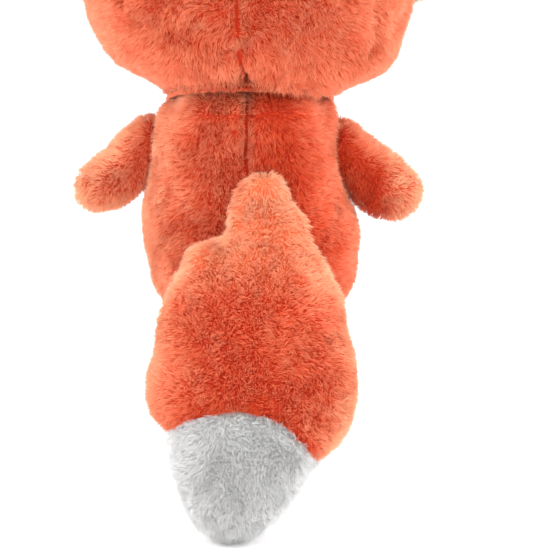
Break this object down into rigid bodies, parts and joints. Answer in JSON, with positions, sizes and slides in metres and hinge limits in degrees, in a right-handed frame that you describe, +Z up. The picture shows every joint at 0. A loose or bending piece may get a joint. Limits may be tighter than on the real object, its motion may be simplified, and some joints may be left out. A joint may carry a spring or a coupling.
{
  "type": "plush fox",
  "caption": "Standing plush fox in short-pile fabric: large round head, upright ears, pear-shaped body, stubby arms and legs, and a very large drop-shaped tail with a pale tip.",
  "frame": {"origin": "middle of the footprint at floor level: bottom centre of the overall box, with the soles and the tail tip on z = 0", "axes": "+Z up, the face looks along -Y, the tail is on the +Y side, +X is the toy's left side"},
  "size_m": [0.1598, 0.1949, 0.306],
  "materials": {
    "orange_pile": "soft short-pile plush, coral orange, matt with a faint sheen at grazing angles",
    "cream_pile": "soft short-pile plush, cream",
    "white_pile": "soft short-pile plush, cool white",
    "sole_felt": "short-sheared plush, cream, flat",
    "filling": "loose polyester fibre filling",
    "orange_thread": "sewing thread, dark orange",
    "black_thread": "embroidery thread, black",
    "eye_black": "moulded, high gloss black",
    "nose_black": "moulded, satin black",
    "washer_plastic": "translucent natural plastic, unseen inside the head"
  },
  "bodies": {
    "torso": {"torso_back_left": "orange_pile", "torso_back_right": "orange_pile", "torso_belly": "cream_pile", "torso_stuffing": "filling", "closing_thread": "orange_thread"},
    "neck": {"neck_gather": "orange_pile", "neck_thread": "orange_thread"},
    "head": {"head_back_left": "orange_pile", "head_back_right": "orange_pile", "forehead": "orange_pile", "cheek_left": "cream_pile", "cheek_right": "cream_pile", "head_stuffing": "filling", "muzzle": "white_pile", "muzzle_stuffing": "filling", "eye_left": "eye_black", "eye_right": "eye_black", "eye_washer_left": "washer_plastic", "eye_washer_right": "washer_plastic", "nose": "nose_black", "nose_washer": "washer_plastic", "mouth_thread": "black_thread", "cheek_tuft_left": "cream_pile", "cheek_tuft_right": "cream_pile"},
    "ear_left": {"ear_back_left": "orange_pile", "ear_front_left": "cream_pile"},
    "ear_right": {"ear_back_right": "orange_pile", "ear_front_right": "cream_pile"},
    "arm_left": {"arm_left_back": "orange_pile", "arm_left_front": "orange_pile", "arm_left_stuffing": "filling"},
    "arm_right": {"arm_right_back": "orange_pile", "arm_right_front": "orange_pile", "arm_right_stuffing": "filling"},
    "leg_left": {"leg_left_outer": "orange_pile", "leg_left_inner": "orange_pile", "leg_left_stuffing": "filling", "leg_left_sole": "sole_felt"},
    "leg_right": {"leg_right_outer": "orange_pile", "leg_right_inner": "orange_pile", "leg_right_stuffing": "filling", "leg_right_sole": "sole_felt"},
    "tail": {"tail_left": "orange_pile", "tail_right": "orange_pile", "tail_tip_left": "white_pile", "tail_tip_right": "white_pile", "tail_stuffing": "filling"}
  },
  "joints": [
    {"name": "neck_turn", "type": "hinge", "parent": "torso", "child": "neck", "pos_m": [0, -0.00285, 0.1299], "axis": [0, 0, 1], "range_deg": [-18, 18], "stiffness_Nm_per_rad": 1},
    {"name": "head_nod", "type": "hinge", "parent": "neck", "child": "head", "pos_m": [0, -0.00285, 0.1299], "axis": [1, 0, 0], "range_deg": [-10, 12], "stiffness_Nm_per_rad": 1.2},
    {"name": "ear_left_fold", "type": "hinge", "parent": "head", "child": "ear_left", "pos_m": [0.04208, -0.01061, 0.25966], "axis": [0.8235, 0, -0.5674], "range_deg": [-20, 35], "stiffness_Nm_per_rad": 0.05},
    {"name": "ear_right_fold", "type": "hinge", "parent": "head", "child": "ear_right", "pos_m": [-0.04208, -0.01061, 0.25966], "axis": [0.8235, 0, 0.5674], "range_deg": [-20, 35], "stiffness_Nm_per_rad": 0.05},
    {"name": "arm_left_swing", "type": "hinge", "parent": "torso", "child": "arm_left", "pos_m": [0.042, -0.01115, 0.137], "axis": [-1, 0, 0], "range_deg": [-35, 60], "stiffness_Nm_per_rad": 0.1},
    {"name": "arm_right_swing", "type": "hinge", "parent": "torso", "child": "arm_right", "pos_m": [-0.0394, -0.01115, 0.1349], "axis": [-1, 0, 0], "range_deg": [-35, 60], "stiffness_Nm_per_rad": 0.1},
    {"name": "leg_left_swing", "type": "hinge", "parent": "torso", "child": "leg_left", "pos_m": [0.0168, -0.01415, 0.0525], "axis": [-1, 0, 0], "range_deg": [-5, 60], "stiffness_Nm_per_rad": 1.5},
    {"name": "leg_right_swing", "type": "hinge", "parent": "torso", "child": "leg_right", "pos_m": [-0.0168, -0.01415, 0.0525], "axis": [-1, 0, 0], "range_deg": [-5, 60], "stiffness_Nm_per_rad": 1.5},
    {"name": "tail_lift", "type": "hinge", "parent": "torso", "child": "tail", "pos_m": [-0.006, 0.03185, 0.124], "axis": [1, 0, 0], "range_deg": [0, 60], "stiffness_Nm_per_rad": 1.5}
  ]
}
